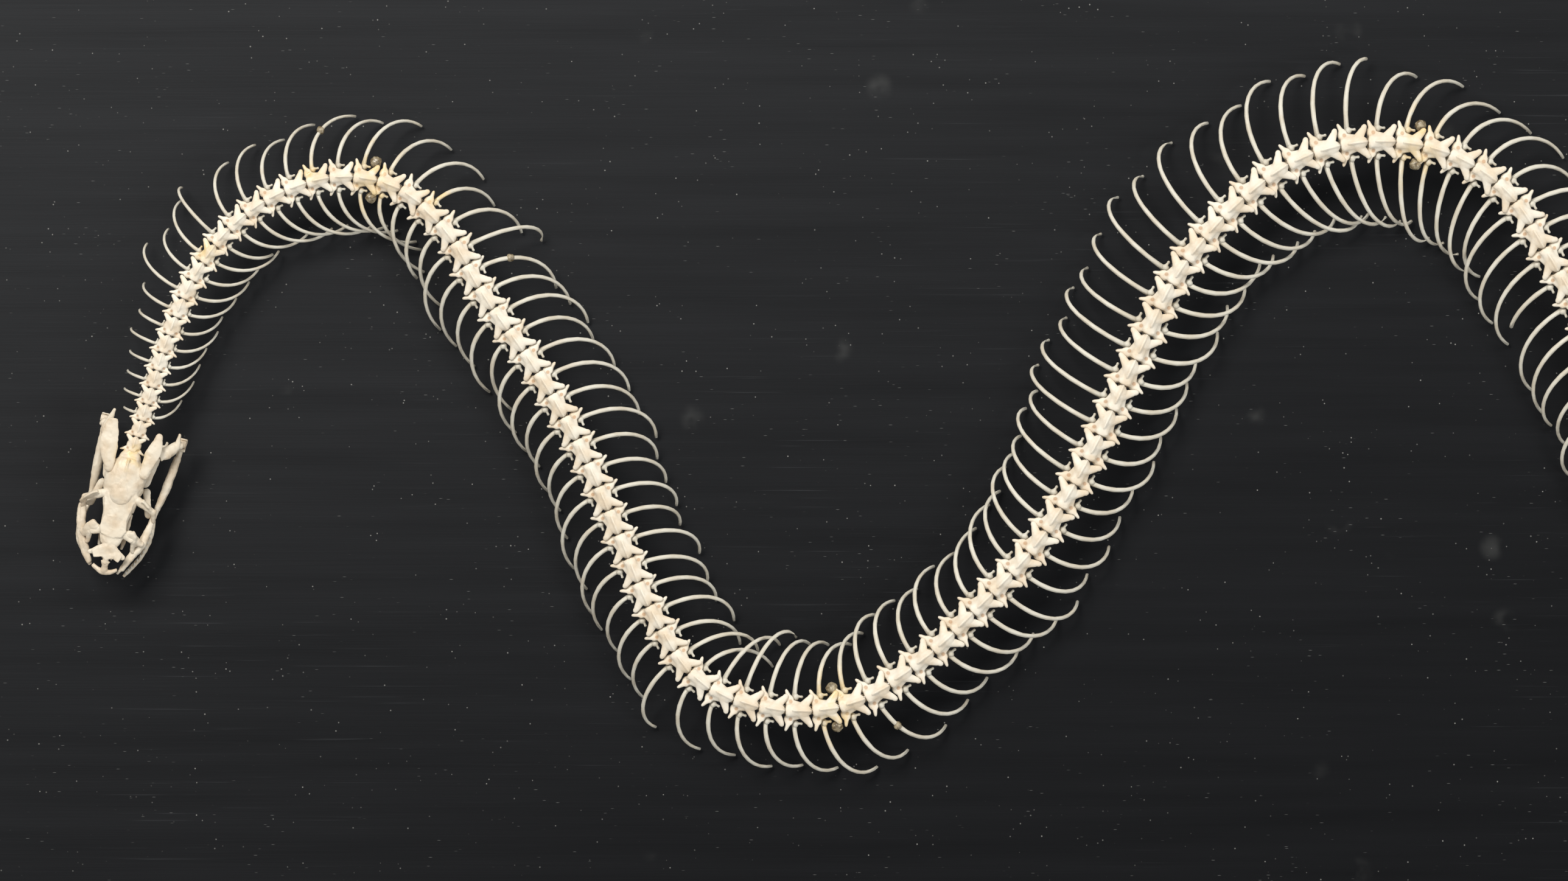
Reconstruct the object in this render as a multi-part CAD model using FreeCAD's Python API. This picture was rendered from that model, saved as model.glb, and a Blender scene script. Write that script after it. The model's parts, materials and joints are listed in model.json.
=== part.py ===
import FreeCAD, Part
import math
import os

# The skeleton of a snake, mounted on a black display board.
# Millimetres, +Z up. The origin is the middle of the board's underside.
# The head lies towards -X, and the spine runs in bends towards +X.
#
# A vertebra's own frame: +X to the tail, +Y to the snake's right, +Z up, with
# its origin on the neural canal. The skull's own frame: +X to the snout, +Y to
# the snake's left, +Z up, with its origin in the foramen magnum.

Vec = FreeCAD.Vector
RIGHT = 1
LEFT = -1

# Board
board_margin_x = 34.0
board_margin_y = 55.0
board_thickness = 12.0
board_edge_round = 1.5
screw_hole_diameter = 5.0
screw_inset = 12.0

# Spine: places that the neural canal passes through, seen from above, from the
# occiput at (0, 0) to the tail's tip
spine_height = 13.0
spine_places = [
    (0, 0), (3.2, 10), (9.3, 29), (14.3, 40.5), (23, 52.5), (34.5, 60.5), (48.3, 64.2),
    (60.6, 62), (69.3, 55.3), (82.2, 35.7), (93.6, 19.4), (104, 1), (111.9, -17), (120, -35.8),
    (131.3, -51.8), (147.5, -58), (165, -57), (181.3, -47.4), (195, -34.7), (208.3, -20.2),
    (220.4, -0.3), (231, 21.9), (240.9, 41.9), (253.4, 57), (268.2, 68), (285, 72.3),
    (302, 70), (315.5, 61.8),
    (325, 48), (335, 30), (345, 9), (354, -13), (366, -33), (382, -48), (402, -54), (421, -50),
    (436, -37), (446, -18), (455, 3), (467, 22), (484, 35), (504, 39), (522, 32), (534, 16),
    (542, -4), (552, -23), (567, -37), (586, -42), (604, -36), (617, -22), (622, -4), (615, 12),
]
tail_length = 178.0
tail_tip_height = 3.0

# Vertebrae: their spacing along the canal, as shares of the mid-trunk spacing
trunk_pitch = 6.3
pitch_shares = [
    (0, 0.59), (20, 0.66), (38, 0.73), (60, 0.81), (90, 0.88), (110, 0.93), (140, 0.945),
    (240, 0.947), (270, 1.003), (340, 1.003), (380, 1.023), (440, 1.023), (480, 1.0),
    (600, 0.97), (720, 0.88), (810, 0.76), (900, 0.52), (987, 0.26),
]
first_vertebra_at = 2.8

# The same shape serves every vertebra: these are its sizes where the spacing is
# the drawn pitch, and it is scaled with the spacing
vertebra_drawn_pitch = 6.3
centrum_start = -3.0
centrum_length = 5.5
centrum_front_radius = 1.75
centrum_rear_radius = 1.3
centrum_above_canal_floor = 0.95
condyle_radius = 1.15
condyle_from_middle = 2.7
joint_clearance = 0.15
keel_start = -1.6
keel_length = 3.6
keel_thickness = 0.5
keel_depth = 1.95
keel_height = 1.1
canal_floor = 0.5
arch_wall = 0.85
arch_half_length = 2.3
front_roof_wall = 0.35
front_roof_start = -3.1
roof_overlap_gap = 0.4
roof_overlap_wall = 0.4
roof_overlap_start = 1.6
roof_overlap_end = 3.5
roof_overlap_lowest = 0.3
wing_thickness = 0.85
wing_gap = 0.15
spike_reach = 5.0
spike_root = 3.2
spike_from_middle = -2.3
spike_root_radius = 0.5
spike_tip_radius = 0.2
spike_lean = 0.4
rear_wing_reach = 3.7
ridge_start = -1.7
ridge_end = 3.4
spine_ridge_height = 1.9
spine_ridge_width = 0.5
ridge_step_length = 0.4
ridge_step_height = 1.0
rib_seat_radius = 0.85
rib_seat_reach = 2.5
rib_seat_from_middle = -1.0
rib_seat_above_centrum = 0.3
whole_length = 10.0

# Mounting wire, posts and glue
wire_diameter = 0.8
wire_clearance = 0.155
wire_in_skull = 2.0
post_diameter = 1.2
post_hole_clearance = 0.05
post_hole_depth = 7.0
post_from_middle = 2.1
post_gap = 0.2
post_top_below_canal = 1.3
glue_radius = 1.5
glue_below_post_top = 0.1
post_stations = [92.0, 265.0, 461.0, 594.0, 724.0, 802.0]
skull_post_from_occiput = 5.0

first_rib = 2
neck_ends = 5

# Ribs: (vertebra, reach from the midline, sweep to the tail), and even between these
rib_shapes = {
    LEFT: [
        (2, 7, 6), (8, 10.5, 7.5), (11, 11.5, 9.5), (15, 14, 13), (20, 12.5, 13.5), (25, 12.5, 13),
        (32, 12, 11), (36, 13, 13), (40, 12.5, 10.5), (46, 13.5, 10.5), (49, 16, 10),
        (53, 14, 11.5), (56, 16, 10), (60, 13.5, 10.5), (66, 15, 11.5), (70, 17.5, 12.5),
        (74, 19, 12), (79, 20.5, 9), (84, 19, 13), (89, 18, 14),
    ],
    RIGHT: [
        (2, 6, 0.3), (7, 9.5, 1.5), (10, 12.5, 6), (15, 12.5, 9), (20, 14, 11), (26, 16, 12.5),
        (31, 16, 12), (36, 15, 8), (41, 15.5, 11), (45, 17, 7.5), (50, 15, 9), (55, 13.5, 12.5),
        (60, 17.5, 8.5), (63, 19.5, 6.5), (70, 21, 8), (73, 18.5, 13), (77, 18.5, 9),
        (80, 14.5, 14), (83, 14, 13),
    ],
}
# Some ribs dried out of line with their neighbours: their own reach and sweep
stray_ribs = {
    (LEFT, 12): (11, 7.5), (LEFT, 22): (13, 12), (LEFT, 28): (11, 13), (LEFT, 42): (15, 9.5),
    (LEFT, 69): (15.5, 14), (LEFT, 87): (16, 9),
    (RIGHT, 9): (14, 6), (RIGHT, 12): (15.5, 3), (RIGHT, 17): (13.5, 12), (RIGHT, 22): (12, 10),
    (RIGHT, 24): (18.5, 6.5), (RIGHT, 43): (13, 12.5), (RIGHT, 48): (14, 9),
}
later_ribs_from = {LEFT: 90, RIGHT: 84}
later_rib_reach_share = 2.75
later_rib_sweep_share = 1.75
rib_unevenness = 0.05
neck_rib_curl = 84.0
rib_curl = 109.0
curl_settles_after = 90.0
rib_root_radius = 0.8
rib_base_radius = 0.58
rib_tip_radius = 0.36
rib_sides = 12
rib_tip_above_board = 0.7
neck_rib_drop_share = 0.62
# The share that is left of each broken rib, and where a lump of glue mends one
broken_ribs = {(LEFT, 87): 0.62, (LEFT, 22): 0.8, (LEFT, 12): 0.8, (RIGHT, 77): 0.85}
glued_ribs = [(RIGHT, 17, 0.5), (RIGHT, 25, 0.3), (LEFT, 50, 0.28)]
rib_glue_radius = 1.1
rib_glue_above = 0.12

# Skull, drawn at its drawn length and then brought to the skull's own length
skull_length = 27.6
skull_drawn_length = 27.6
skull_turn = 4.4
suture_gap = 0.08
foramen_radius = 0.75
tooth_base_radius = 0.26
tooth_tip_radius = 0.06
tooth_length = 1.5
hinge_radius = 0.9
hinge_clearance = 0.08
hinge_half_width = 0.9
hinge_cup_length = 3.0
hinge_cup_height = 2.0
hinge_cup_behind = 1.3
hinge_cup_below = 1.9
crest_bottom = 0.6
crest_top = 2.35
tooth_lean = 0.35
tooth_seat_share = 0.6
skull_post_below_canal = 3.4

skull_scale = skull_length / skull_drawn_length
board_top = board_thickness
canal_height = board_top + spine_height


def heading_of(vector):
    return math.atan2(vector.y, vector.x)


def turn_between(heading, later_heading):
    """The turn from one heading to another, the short way round."""
    return (later_heading - heading + math.pi) % (2 * math.pi) - math.pi


def heading_at(points, index):
    """The spine's heading at one of its places, that of the circle through it and its neighbours."""
    middle = min(max(index, 1), len(points) - 2)
    arriving = points[middle] - points[middle - 1]
    leaving = points[middle + 1] - points[middle]
    turn = turn_between(heading_of(arriving), heading_of(leaving))
    share = arriving.Length / (arriving.Length + leaving.Length)
    share += index - middle
    return heading_of(arriving) + turn * share


def arcs_meeting(start, heading, end, end_heading):
    """Where two arcs meet that lead from one place and heading to the next."""
    way = end - start
    leaving = Vec(math.cos(heading), math.sin(heading), 0)
    arriving = Vec(math.cos(end_heading), math.sin(end_heading), 0)
    along = way.dot(leaving + arriving)
    spread = 2 * (1 - leaving.dot(arriving))
    reach = way.dot(way) / (along + math.sqrt(along ** 2 + spread * way.dot(way)))
    return (start + end + (leaving - arriving) * reach) * 0.5


def chord_over_arc(turn):
    """The length of an arc's chord as a share of the arc's own."""
    return math.sin(turn / 2) / (turn / 2) if turn else 1.0


def route_arcs():
    """Each arc of the route, as (start distance, x, y, heading, length, turn)."""
    points = [Vec(x, y, 0) for x, y in spine_places]
    arcs = []
    distance = 0.0
    heading = heading_at(points, 0)
    for index in range(len(points) - 1):
        start, end = points[index], points[index + 1]
        meeting = arcs_meeting(start, heading, end, heading_at(points, index + 1))
        for low, high in ((start, meeting), (meeting, end)):
            chord = high - low
            turn = 2 * turn_between(heading, heading_of(chord))
            length = chord.Length / chord_over_arc(turn)
            arcs.append((distance, low.x, low.y, heading, length, turn))
            distance += length
            heading += turn
    return arcs


ARCS = route_arcs()
neck_heading = math.degrees(ARCS[0][3])
tail_ends = ARCS[-1][0] + ARCS[-1][4]
tail_starts = tail_ends - tail_length


def along_route(distance):
    """The place and heading at a distance along the route, from the occiput at (0, 0)."""
    start, x, y, heading, length, turn = ARCS[0]
    if distance < 0:
        return distance * math.cos(heading), distance * math.sin(heading), heading
    start, x, y, heading, length, turn = [arc for arc in ARCS if arc[0] <= distance][-1]
    part_turn = turn * (distance - start) / length
    chord = (distance - start) * chord_over_arc(part_turn)
    chord_heading = heading + part_turn / 2
    return (x + chord * math.cos(chord_heading), y + chord * math.sin(chord_heading),
            heading + part_turn)


def between(table, at):
    """The value at a distance, in a straight line between the table's entries."""
    if at <= table[0][0]:
        return table[0][1]
    for (low, low_value), (high, high_value) in zip(table, table[1:]):
        if at <= high:
            return low_value + (high_value - low_value) * (at - low) / (high - low)
    return table[-1][1]


# The board reaches a margin past the spine's route, and the route is centred on it
route_points = [along_route(step) for step in range(int(tail_ends))]
route_x = [point[0] for point in route_points]
route_y = [point[1] for point in route_points]
skull_reach = skull_length * abs(math.cos(math.radians(neck_heading)))
board_length = max(route_x) - min(min(route_x), -skull_reach) + 2 * board_margin_x
board_width = max(route_y) - min(route_y) + 2 * board_margin_y
occiput_x = -(max(route_x) + min(min(route_x), -skull_reach)) / 2
occiput_y = -(max(route_y) + min(route_y)) / 2


def canal_height_at(distance):
    """The canal is level along the trunk, and sinks evenly to the tail's tip."""
    if distance <= tail_starts:
        return canal_height
    share = (distance - tail_starts) / (tail_ends - tail_starts)
    return canal_height + (board_top + tail_tip_height - canal_height) * share


def vertebra_places():
    """Each vertebra as (distance along the route, scale)."""
    places = []
    distance = first_vertebra_at
    while distance < tail_ends:
        pitch = trunk_pitch * between(pitch_shares, distance)
        places.append((distance, pitch / vertebra_drawn_pitch))
        distance += trunk_pitch * between(pitch_shares, distance + pitch / 2)
    return places


PLACES = vertebra_places()
smallest_wired_scale = min(scale for distance, scale in PLACES if distance < tail_starts)
canal_radius = (wire_diameter / 2 + wire_clearance) / smallest_wired_scale
centrum_axis = -(canal_radius + canal_floor + centrum_above_canal_floor)
seat_depth = centrum_axis + rib_seat_above_centrum


def mirrored(points):
    return [(x, -y) for x, y in points]


def plate(outline, low, high):
    """A flat plate with the outline given in X and Y."""
    corners = [Vec(x, y, low) for x, y in outline]
    face = Part.Face(Part.makePolygon(corners + corners[:1]))
    return face.extrude(Vec(0, 0, high - low))


def x_cylinder(radius, start, end, height):
    return Part.makeCylinder(radius, end - start, Vec(start, 0, height), Vec(1, 0, 0))


def vertebra_body():
    """Centrum with its ball behind and its keel beneath."""
    centrum = Part.makeCone(centrum_front_radius, centrum_rear_radius, centrum_length,
                            Vec(centrum_start, 0, centrum_axis), Vec(1, 0, 0))
    ball = Part.makeSphere(condyle_radius, Vec(condyle_from_middle, 0, centrum_axis))
    keel = Part.makeBox(keel_length, keel_thickness, keel_height,
                        Vec(keel_start, -keel_thickness / 2, centrum_axis - keel_depth))
    return centrum.multiFuse([ball, keel])


def vertebra_arch():
    """Tube round the canal, the roof that laps over the next one, and the low ridge."""
    tube = x_cylinder(canal_radius + arch_wall, -arch_half_length, arch_half_length, 0)
    front_roof = x_cylinder(canal_radius + front_roof_wall, front_roof_start, 0, 0)
    lap_inner = canal_radius + front_roof_wall + roof_overlap_gap
    lap_outer = lap_inner + roof_overlap_wall
    under_lap = x_cylinder(lap_inner, arch_half_length, whole_length, 0)
    below = Part.makeBox(whole_length, 2 * lap_outer, 2 * lap_outer,
                         Vec(0, -lap_outer, roof_overlap_lowest - 2 * lap_outer))
    lap = x_cylinder(lap_outer, roof_overlap_start, roof_overlap_end, 0)
    lap = lap.cut(under_lap).cut(below)
    half_width = spine_ridge_width / 2
    ridge_top = canal_radius + spine_ridge_height
    ridge = plate([(ridge_start, -half_width), (ridge_end, -half_width),
                   (ridge_end, half_width), (ridge_start, half_width)],
                  canal_radius + front_roof_wall / 2, ridge_top)
    step = Part.makeBox(ridge_step_length, spine_ridge_width, ridge_step_height,
                        Vec(ridge_start, -half_width, ridge_top - ridge_step_height))
    return tube.multiFuse([front_roof, lap, ridge.cut(step).cut(under_lap)])


def vertebra_side(side):
    """One side's front wing with its spike, rear wing and rib seat."""
    reach = rear_wing_reach
    front_wing = [(-1.9, 1.2), (-3.5, 1.6), (-3.6, 3.3), (-2.9, 3.9), (-1.2, 3.5), (-0.6, 1.5)]
    rear_wing = [(0.8, 1.3), (1.7, 3.0), (2.6, reach), (3.9, reach - 0.2), (3.7, 2.4), (2.2, 1.3)]
    if side == LEFT:
        front_wing = mirrored(front_wing)
        rear_wing = mirrored(rear_wing)
    front = plate(front_wing, -wing_gap / 2 - wing_thickness, -wing_gap / 2)
    rear = plate(rear_wing, wing_gap / 2, wing_gap / 2 + wing_thickness)
    spike_depth = wing_gap / 2 + spike_root_radius
    spike_start = Vec(spike_from_middle, side * spike_root, -spike_depth)
    spike = Part.makeCone(spike_root_radius, spike_tip_radius, spike_reach - spike_root,
                          spike_start, Vec(-spike_lean, side, 0))
    seat = Part.makeCylinder(rib_seat_radius, rib_seat_reach,
                             Vec(rib_seat_from_middle, 0, seat_depth), Vec(0, side, 0))
    return [front, rear, spike, seat]


def master_vertebra():
    solid = vertebra_body().fuse(vertebra_arch())
    solid = solid.multiFuse(vertebra_side(RIGHT) + vertebra_side(LEFT))
    cup_centre = Vec(condyle_from_middle - vertebra_drawn_pitch, 0, centrum_axis)
    solid = solid.cut(Part.makeSphere(condyle_radius + joint_clearance, cup_centre))
    solid = solid.cut(x_cylinder(canal_radius, -whole_length / 2, whole_length / 2, 0))
    return solid.removeSplitter()


def vertebra_placement(distance):
    x, y, heading = along_route(distance)
    where = Vec(occiput_x + x, occiput_y + y, canal_height_at(distance))
    slope = 0.0
    if distance > tail_starts:
        fall = canal_height_at(distance - 0.5) - canal_height_at(distance + 0.5)
        slope = math.degrees(math.atan(fall))
    turn = FreeCAD.Rotation(Vec(0, 0, 1), math.degrees(heading))
    return FreeCAD.Placement(where, turn.multiply(FreeCAD.Rotation(Vec(0, 1, 0), slope)))


def placed(shape, scale, placement):
    copy = shape.copy()
    copy.scale(scale)
    copy.Placement = placement
    return copy


def rib_sizes(side, index):
    """Reach and sweep of one rib."""
    if (side, index) in stray_ribs:
        return stray_ribs[side, index]
    uneven = 1 + rib_unevenness * (math.sin(2.4 * index) + 0.6 * math.sin(5.3 * index + side))
    if index >= later_ribs_from[side]:
        pitch = PLACES[index][1] * vertebra_drawn_pitch
        return pitch * later_rib_reach_share * uneven, pitch * later_rib_sweep_share * uneven
    reach = between([(at, reach) for at, reach, sweep in rib_shapes[side]], index)
    sweep = between([(at, sweep) for at, reach, sweep in rib_shapes[side]], index)
    return reach * uneven, sweep * uneven


def rib_curve(side, index, share):
    """Point and direction on a rib, share 0 at its root to 1 at its tip, in its vertebra's frame."""
    distance, scale = PLACES[index]
    reach, sweep = rib_sizes(side, index)
    settled = min(1.0, distance / curl_settles_after)
    curl = math.radians(neck_rib_curl + (rib_curl - neck_rib_curl) * settled)
    root = Vec(rib_seat_from_middle * scale, side * rib_seat_reach * scale, seat_depth * scale)
    full_drop = spine_height + root.z - rib_tip_above_board - rib_tip_radius * scale
    drop = full_drop * (neck_rib_drop_share + (1 - neck_rib_drop_share) * settled)
    across = (reach - rib_seat_reach * scale) / math.sin(min(curl, math.pi / 2))
    bend = 1 - math.cos(curl)
    angle = curl * share
    arc = 1 - math.cos(angle)
    point = root + Vec(sweep * arc / bend, side * across * math.sin(angle), -drop * arc / bend)
    slope = math.sin(angle) / bend
    direction = Vec(sweep * slope, side * across * math.cos(angle), -drop * slope)
    return point, direction.normalize(), Vec(drop, 0, sweep).normalize()


def ring(centre, direction, across, radius):
    """A circle round a direction, whose seam lies towards the across vector."""
    wire = Part.Wire(Part.makeCircle(radius))
    other = direction.cross(across)
    wire.Placement = FreeCAD.Placement(centre, FreeCAD.Rotation(across, other, direction, "ZXY"))
    return wire


def many_sided(centre, direction, across, radius):
    """A regular outline round a direction, with a corner towards the across vector."""
    other = direction.cross(across)
    corners = []
    for corner in range(rib_sides):
        angle = 2 * math.pi * corner / rib_sides
        corners.append(centre + (across * math.cos(angle) + other * math.sin(angle)) * radius)
    return Part.makePolygon(corners + corners[:1])


def make_rib(side, index):
    distance, scale = PLACES[index]
    end = broken_ribs.get((side, index), 1.0)
    rings = []
    for share in (0.0, 0.07, 0.2, 0.4, 0.6, 0.8, 1.0):
        along = share * end
        point, direction, across = rib_curve(side, index, along)
        radius = rib_base_radius + (rib_tip_radius - rib_base_radius) * along
        if share == 0.0:
            radius = rib_root_radius
        rings.append(many_sided(point, direction, across, radius * scale))
    rib = Part.makeLoft(rings, True, False)
    rib.Placement = vertebra_placement(distance)
    return rib


def make_wire():
    edges = []
    joints = [-wire_in_skull, 0.0]
    joints += [arc[0] + arc[4] for arc in ARCS if arc[0] + arc[4] < tail_starts]
    joints.append(tail_starts)
    for low, high in zip(joints, joints[1:]):
        points = []
        for distance in (low, (low + high) / 2, high):
            x, y, heading = along_route(distance)
            points.append(Vec(occiput_x + x, occiput_y + y, canal_height))
        straight = low < 0
        edges.append(Part.LineSegment(points[0], points[2]).toShape() if straight
                     else Part.Arc(*points).toShape())
    path = Part.Wire(edges)
    heading = math.radians(neck_heading)
    start = ring(edges[0].Vertexes[0].Point, Vec(math.cos(heading), math.sin(heading), 0),
                 Vec(0, 0, 1), wire_diameter / 2)
    return path.makePipeShell([start], True, False)


def nearest_vertebra(station):
    return min(range(len(PLACES)), key=lambda index: abs(PLACES[index][0] - station))


def post_and_glue(index, side):
    """One post at a vertebra's flank, standing in the board, and its dab of glue."""
    distance, scale = PLACES[index]
    frame = vertebra_placement(distance)
    out = rear_wing_reach * scale + post_gap + post_diameter / 2
    top = frame.multVec(Vec(post_from_middle * scale, side * out, -post_top_below_canal))
    post = Part.makeCylinder(post_diameter / 2, top.z - board_top + post_hole_depth,
                             Vec(top.x, top.y, board_top - post_hole_depth))
    return post, Part.makeSphere(glue_radius, top - Vec(0, 0, glue_below_post_top))


# ---- Skull ----

def section(centre, side, up, half_width, half_height):
    """A smooth closed outline round a centre, through eight points."""
    points = []
    for step in range(8):
        angle = math.pi / 4 * step
        points.append(centre + side * (half_width * math.cos(angle))
                      + up * (half_height * math.sin(angle)))
    curve = Part.BSplineCurve()
    curve.interpolate(points, PeriodicFlag=True)
    return Part.Wire(curve.toShape())


def bone(stations):
    """A long bone through (x, y, z, half width, half height) stations."""
    centres = [Vec(*station[:3]) for station in stations]
    outlines = []
    for index, station in enumerate(stations):
        before = centres[max(index - 1, 0)]
        after = centres[min(index + 1, len(centres) - 1)]
        along = (after - before).normalize()
        side = Vec(0, 0, 1).cross(along).normalize()
        outlines.append(section(centres[index], side, along.cross(side), station[3], station[4]))
    return Part.makeLoft(outlines, True, False)


def flipped(stations):
    """The same stations on the other side of the midline."""
    return [(station[0], -station[1]) + tuple(station[2:]) for station in stations]


def teeth(stations, count, first, last, direction):
    """A row of teeth along a bone, each rooted in it."""
    row = []
    for number in range(count):
        place = first + (last - first) * number / (count - 1)
        lower = int(min(place * (len(stations) - 1), len(stations) - 2))
        share = place * (len(stations) - 1) - lower
        a, b = stations[lower], stations[lower + 1]
        x, y, z, width, height = [p + (q - p) * share for p, q in zip(a, b)]
        root = Vec(x, y, z + direction * height * tooth_seat_share)
        lean = Vec(-tooth_lean, 0, direction).normalize()
        row.append(Part.makeCone(tooth_base_radius, tooth_tip_radius, tooth_length, root, lean))
    return Part.makeCompound(row)


def make_braincase():
    shell = bone([
        (0.5, 0, -0.1, 2.2, 1.6), (1.8, 0, -0.2, 3.1, 2.2), (4.0, 0, -0.3, 4.0, 2.5),
        (6.6, 0, -0.2, 4.6, 2.4), (8.8, 0, -0.1, 4.3, 2.2), (10.4, 0, 0.0, 3.5, 1.8),
    ])
    crest = plate([(0.6, -0.25), (5.2, -0.2), (8.6, -1.6), (8.6, 1.6), (5.2, 0.2), (0.6, 0.25)],
                  crest_bottom, crest_top)
    foramen = x_cylinder(foramen_radius, -1.0, 3.0, 0)
    return shell.fuse(crest).cut(foramen)


def make_frontals():
    rear = 10.4 + suture_gap
    outline = [(rear, suture_gap / 2), (rear, 3.5), (12.4, 3.2), (14.6, 2.7), (17.2, 3.1),
               (18.8, 2.4), (19.2, suture_gap / 2)]
    return Part.makeCompound([plate(outline, -0.9, 1.5), plate(mirrored(outline), -0.9, 1.5)])


def make_nasals():
    outline = [(19.3, suture_gap / 2), (19.9, 1.2), (21.4, 1.6), (23.0, 3.6), (24.5, 2.9),
               (24.0, 1.1), (24.6, suture_gap / 2)]
    return Part.makeCompound([plate(outline, 0.2, 1.0), plate(mirrored(outline), 0.2, 1.0)])


def make_premaxilla():
    neck = bone([(24.75, 0, 0.4, 1.2, 0.45), (26.0, 0, -0.1, 0.7, 0.5), (27.0, 0, -0.9, 0.7, 0.6)])
    bar = bone([(26.2, 2.9, -1.2, 0.45, 0.4), (27.1, 1.4, -1.1, 0.6, 0.6), (27.4, 0, -1.1, 0.7, 0.7),
                (27.1, -1.4, -1.1, 0.6, 0.6), (26.2, -2.9, -1.2, 0.45, 0.4)])
    return neck.fuse(bar)


def make_vomers():
    stations = [(19.8, 0.75, -1.6, 0.45, 0.35), (22.0, 1.1, -1.6, 0.6, 0.4),
                (24.4, 0.8, -1.6, 0.35, 0.3)]
    return Part.makeCompound([bone(stations), bone(flipped(stations))])


def make_rostrum():
    return bone([(10.6, 0, -1.75, 1.1, 0.45), (13.5, 0, -1.6, 0.5, 0.4),
                 (17.0, 0, -1.6, 0.4, 0.4), (19.6, 0, -1.6, 0.25, 0.3)])


SKULL_LEFT = {
    "prefrontal": [(17.0, 4.2, 0.8, 0.8, 0.6), (18.1, 4.9, 0.5, 1.0, 0.5),
                   (19.2, 5.4, -0.4, 0.8, 0.45), (19.9, 5.8, -1.2, 0.6, 0.4)],
    "postorbital": [(9.4, 5.1, 0.9, 0.5, 0.9), (10.4, 6.6, 0.5, 0.5, 0.8),
                    (11.4, 7.7, -0.4, 0.45, 0.6), (11.9, 8.1, -1.3, 0.4, 0.4)],
    "maxilla": [(12.4, 8.2, -2.5, 0.45, 0.5), (15.3, 7.6, -2.4, 0.6, 0.75),
                (18.4, 6.8, -2.3, 0.65, 0.85), (22.2, 5.2, -2.3, 0.65, 0.8),
                (25.6, 3.8, -2.4, 0.5, 0.6), (27.2, 3.0, -2.5, 0.3, 0.4)],
    "ectopterygoid": [(12.6, 6.9, -2.9, 0.6, 0.3), (9.8, 6.0, -3.1, 0.55, 0.35),
                      (6.6, 4.9, -3.2, 0.6, 0.3)],
    "pterygoid": [(-5.0, 7.3, -3.3, 0.3, 0.25), (-1.0, 5.9, -3.3, 0.8, 0.35),
                  (3.6, 3.7, -3.4, 1.0, 0.35), (8.6, 3.2, -3.3, 0.7, 0.35),
                  (12.8, 2.9, -3.2, 0.45, 0.35)],
    "palatine": [(13.1, 2.9, -3.2, 0.45, 0.35), (17.0, 2.9, -3.1, 0.5, 0.4),
                 (21.6, 2.6, -3.0, 0.35, 0.35)],
    "supratemporal": [(3.6, 4.4, 1.7, 0.5, 0.3), (0.6, 4.9, 1.6, 1.2, 0.4),
                      (-2.4, 5.4, 1.5, 1.5, 0.4), (-5.6, 5.6, 1.4, 0.7, 0.35)],
    "quadrate": [(-1.4, 6.4, 0.5, 1.3, 0.5), (-2.8, 8.0, -0.9, 1.1, 0.5),
                 (-4.3, 9.7, -2.5, 0.8, 0.5), (-5.0, 10.5, -3.6, 0.7, 0.55)],
    "mandible": [(-3.7, 10.4, -5.6, 0.7, 0.9), (0.5, 10.3, -5.3, 0.55, 1.1),
                 (5.0, 9.6, -5.4, 0.55, 1.1), (9.5, 8.6, -5.7, 0.5, 0.8),
                 (13.0, 8.1, -5.9, 0.4, 0.5)],
    "dentary": [(13.3, 8.1, -5.9, 0.4, 0.5), (17.4, 8.3, -5.9, 0.55, 0.7),
                (21.4, 7.5, -5.9, 0.55, 0.7), (25.0, 5.8, -5.9, 0.5, 0.6),
                (27.6, 4.2, -5.9, 0.4, 0.45)],
}
SKULL_RIGHT = {
    "prefrontal": [(16.4, -4.2, 0.8, 0.8, 0.6), (17.7, -5.1, 0.5, 1.2, 0.5),
                   (19.2, -6.1, -0.4, 1.0, 0.45), (20.1, -6.7, -1.2, 0.6, 0.4)],
    "postorbital": [(9.4, -5.1, 0.9, 0.5, 1.3), (10.6, -6.9, 0.5, 0.5, 1.5),
                    (11.8, -8.2, -0.4, 0.45, 1.3), (12.6, -8.7, -1.3, 0.4, 0.6)],
    "maxilla": [(13.0, -8.8, -2.5, 0.45, 0.5), (16.4, -8.5, -2.4, 0.6, 0.75),
                (19.6, -7.6, -2.3, 0.65, 0.85), (23.2, -6.0, -2.3, 0.65, 0.8),
                (25.4, -4.5, -2.4, 0.5, 0.6), (26.2, -3.9, -2.5, 0.3, 0.4)],
    "ectopterygoid": [(13.2, -7.4, -2.9, 0.6, 0.3), (10.0, -6.3, -3.1, 0.55, 0.35),
                      (6.6, -4.9, -3.2, 0.6, 0.3)],
    "pterygoid": flipped(SKULL_LEFT["pterygoid"]),
    "palatine": flipped(SKULL_LEFT["palatine"]),
    "supratemporal": [(3.4, -4.5, 1.7, 0.5, 0.3), (0.2, -5.2, 1.6, 1.7, 0.4),
                      (-3.4, -5.5, 1.5, 2.0, 0.4), (-7.6, -5.7, 1.4, 1.0, 0.35)],
    "quadrate": [(-4.2, -6.0, 0.5, 1.5, 0.5), (-5.2, -6.8, -0.9, 1.4, 0.5),
                 (-6.2, -7.6, -2.5, 0.9, 0.5), (-6.7, -8.1, -3.6, 0.7, 0.55)],
    "mandible": [(-5.4, -8.0, -5.6, 0.7, 0.9), (-0.6, -7.9, -5.3, 0.55, 1.1),
                 (4.2, -7.6, -5.4, 0.55, 1.1), (9.5, -7.3, -5.7, 0.5, 0.8),
                 (13.0, -7.4, -5.9, 0.4, 0.5)],
    "dentary": [(13.3, -7.4, -5.9, 0.4, 0.5), (17.4, -8.3, -5.9, 0.55, 0.7),
                (21.4, -7.8, -5.9, 0.55, 0.7), (24.4, -5.6, -5.9, 0.5, 0.6),
                (26.6, -3.8, -5.9, 0.4, 0.45)],
}
JAW_HINGE_LEFT = (-5.3, 10.6, -4.5)
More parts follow.
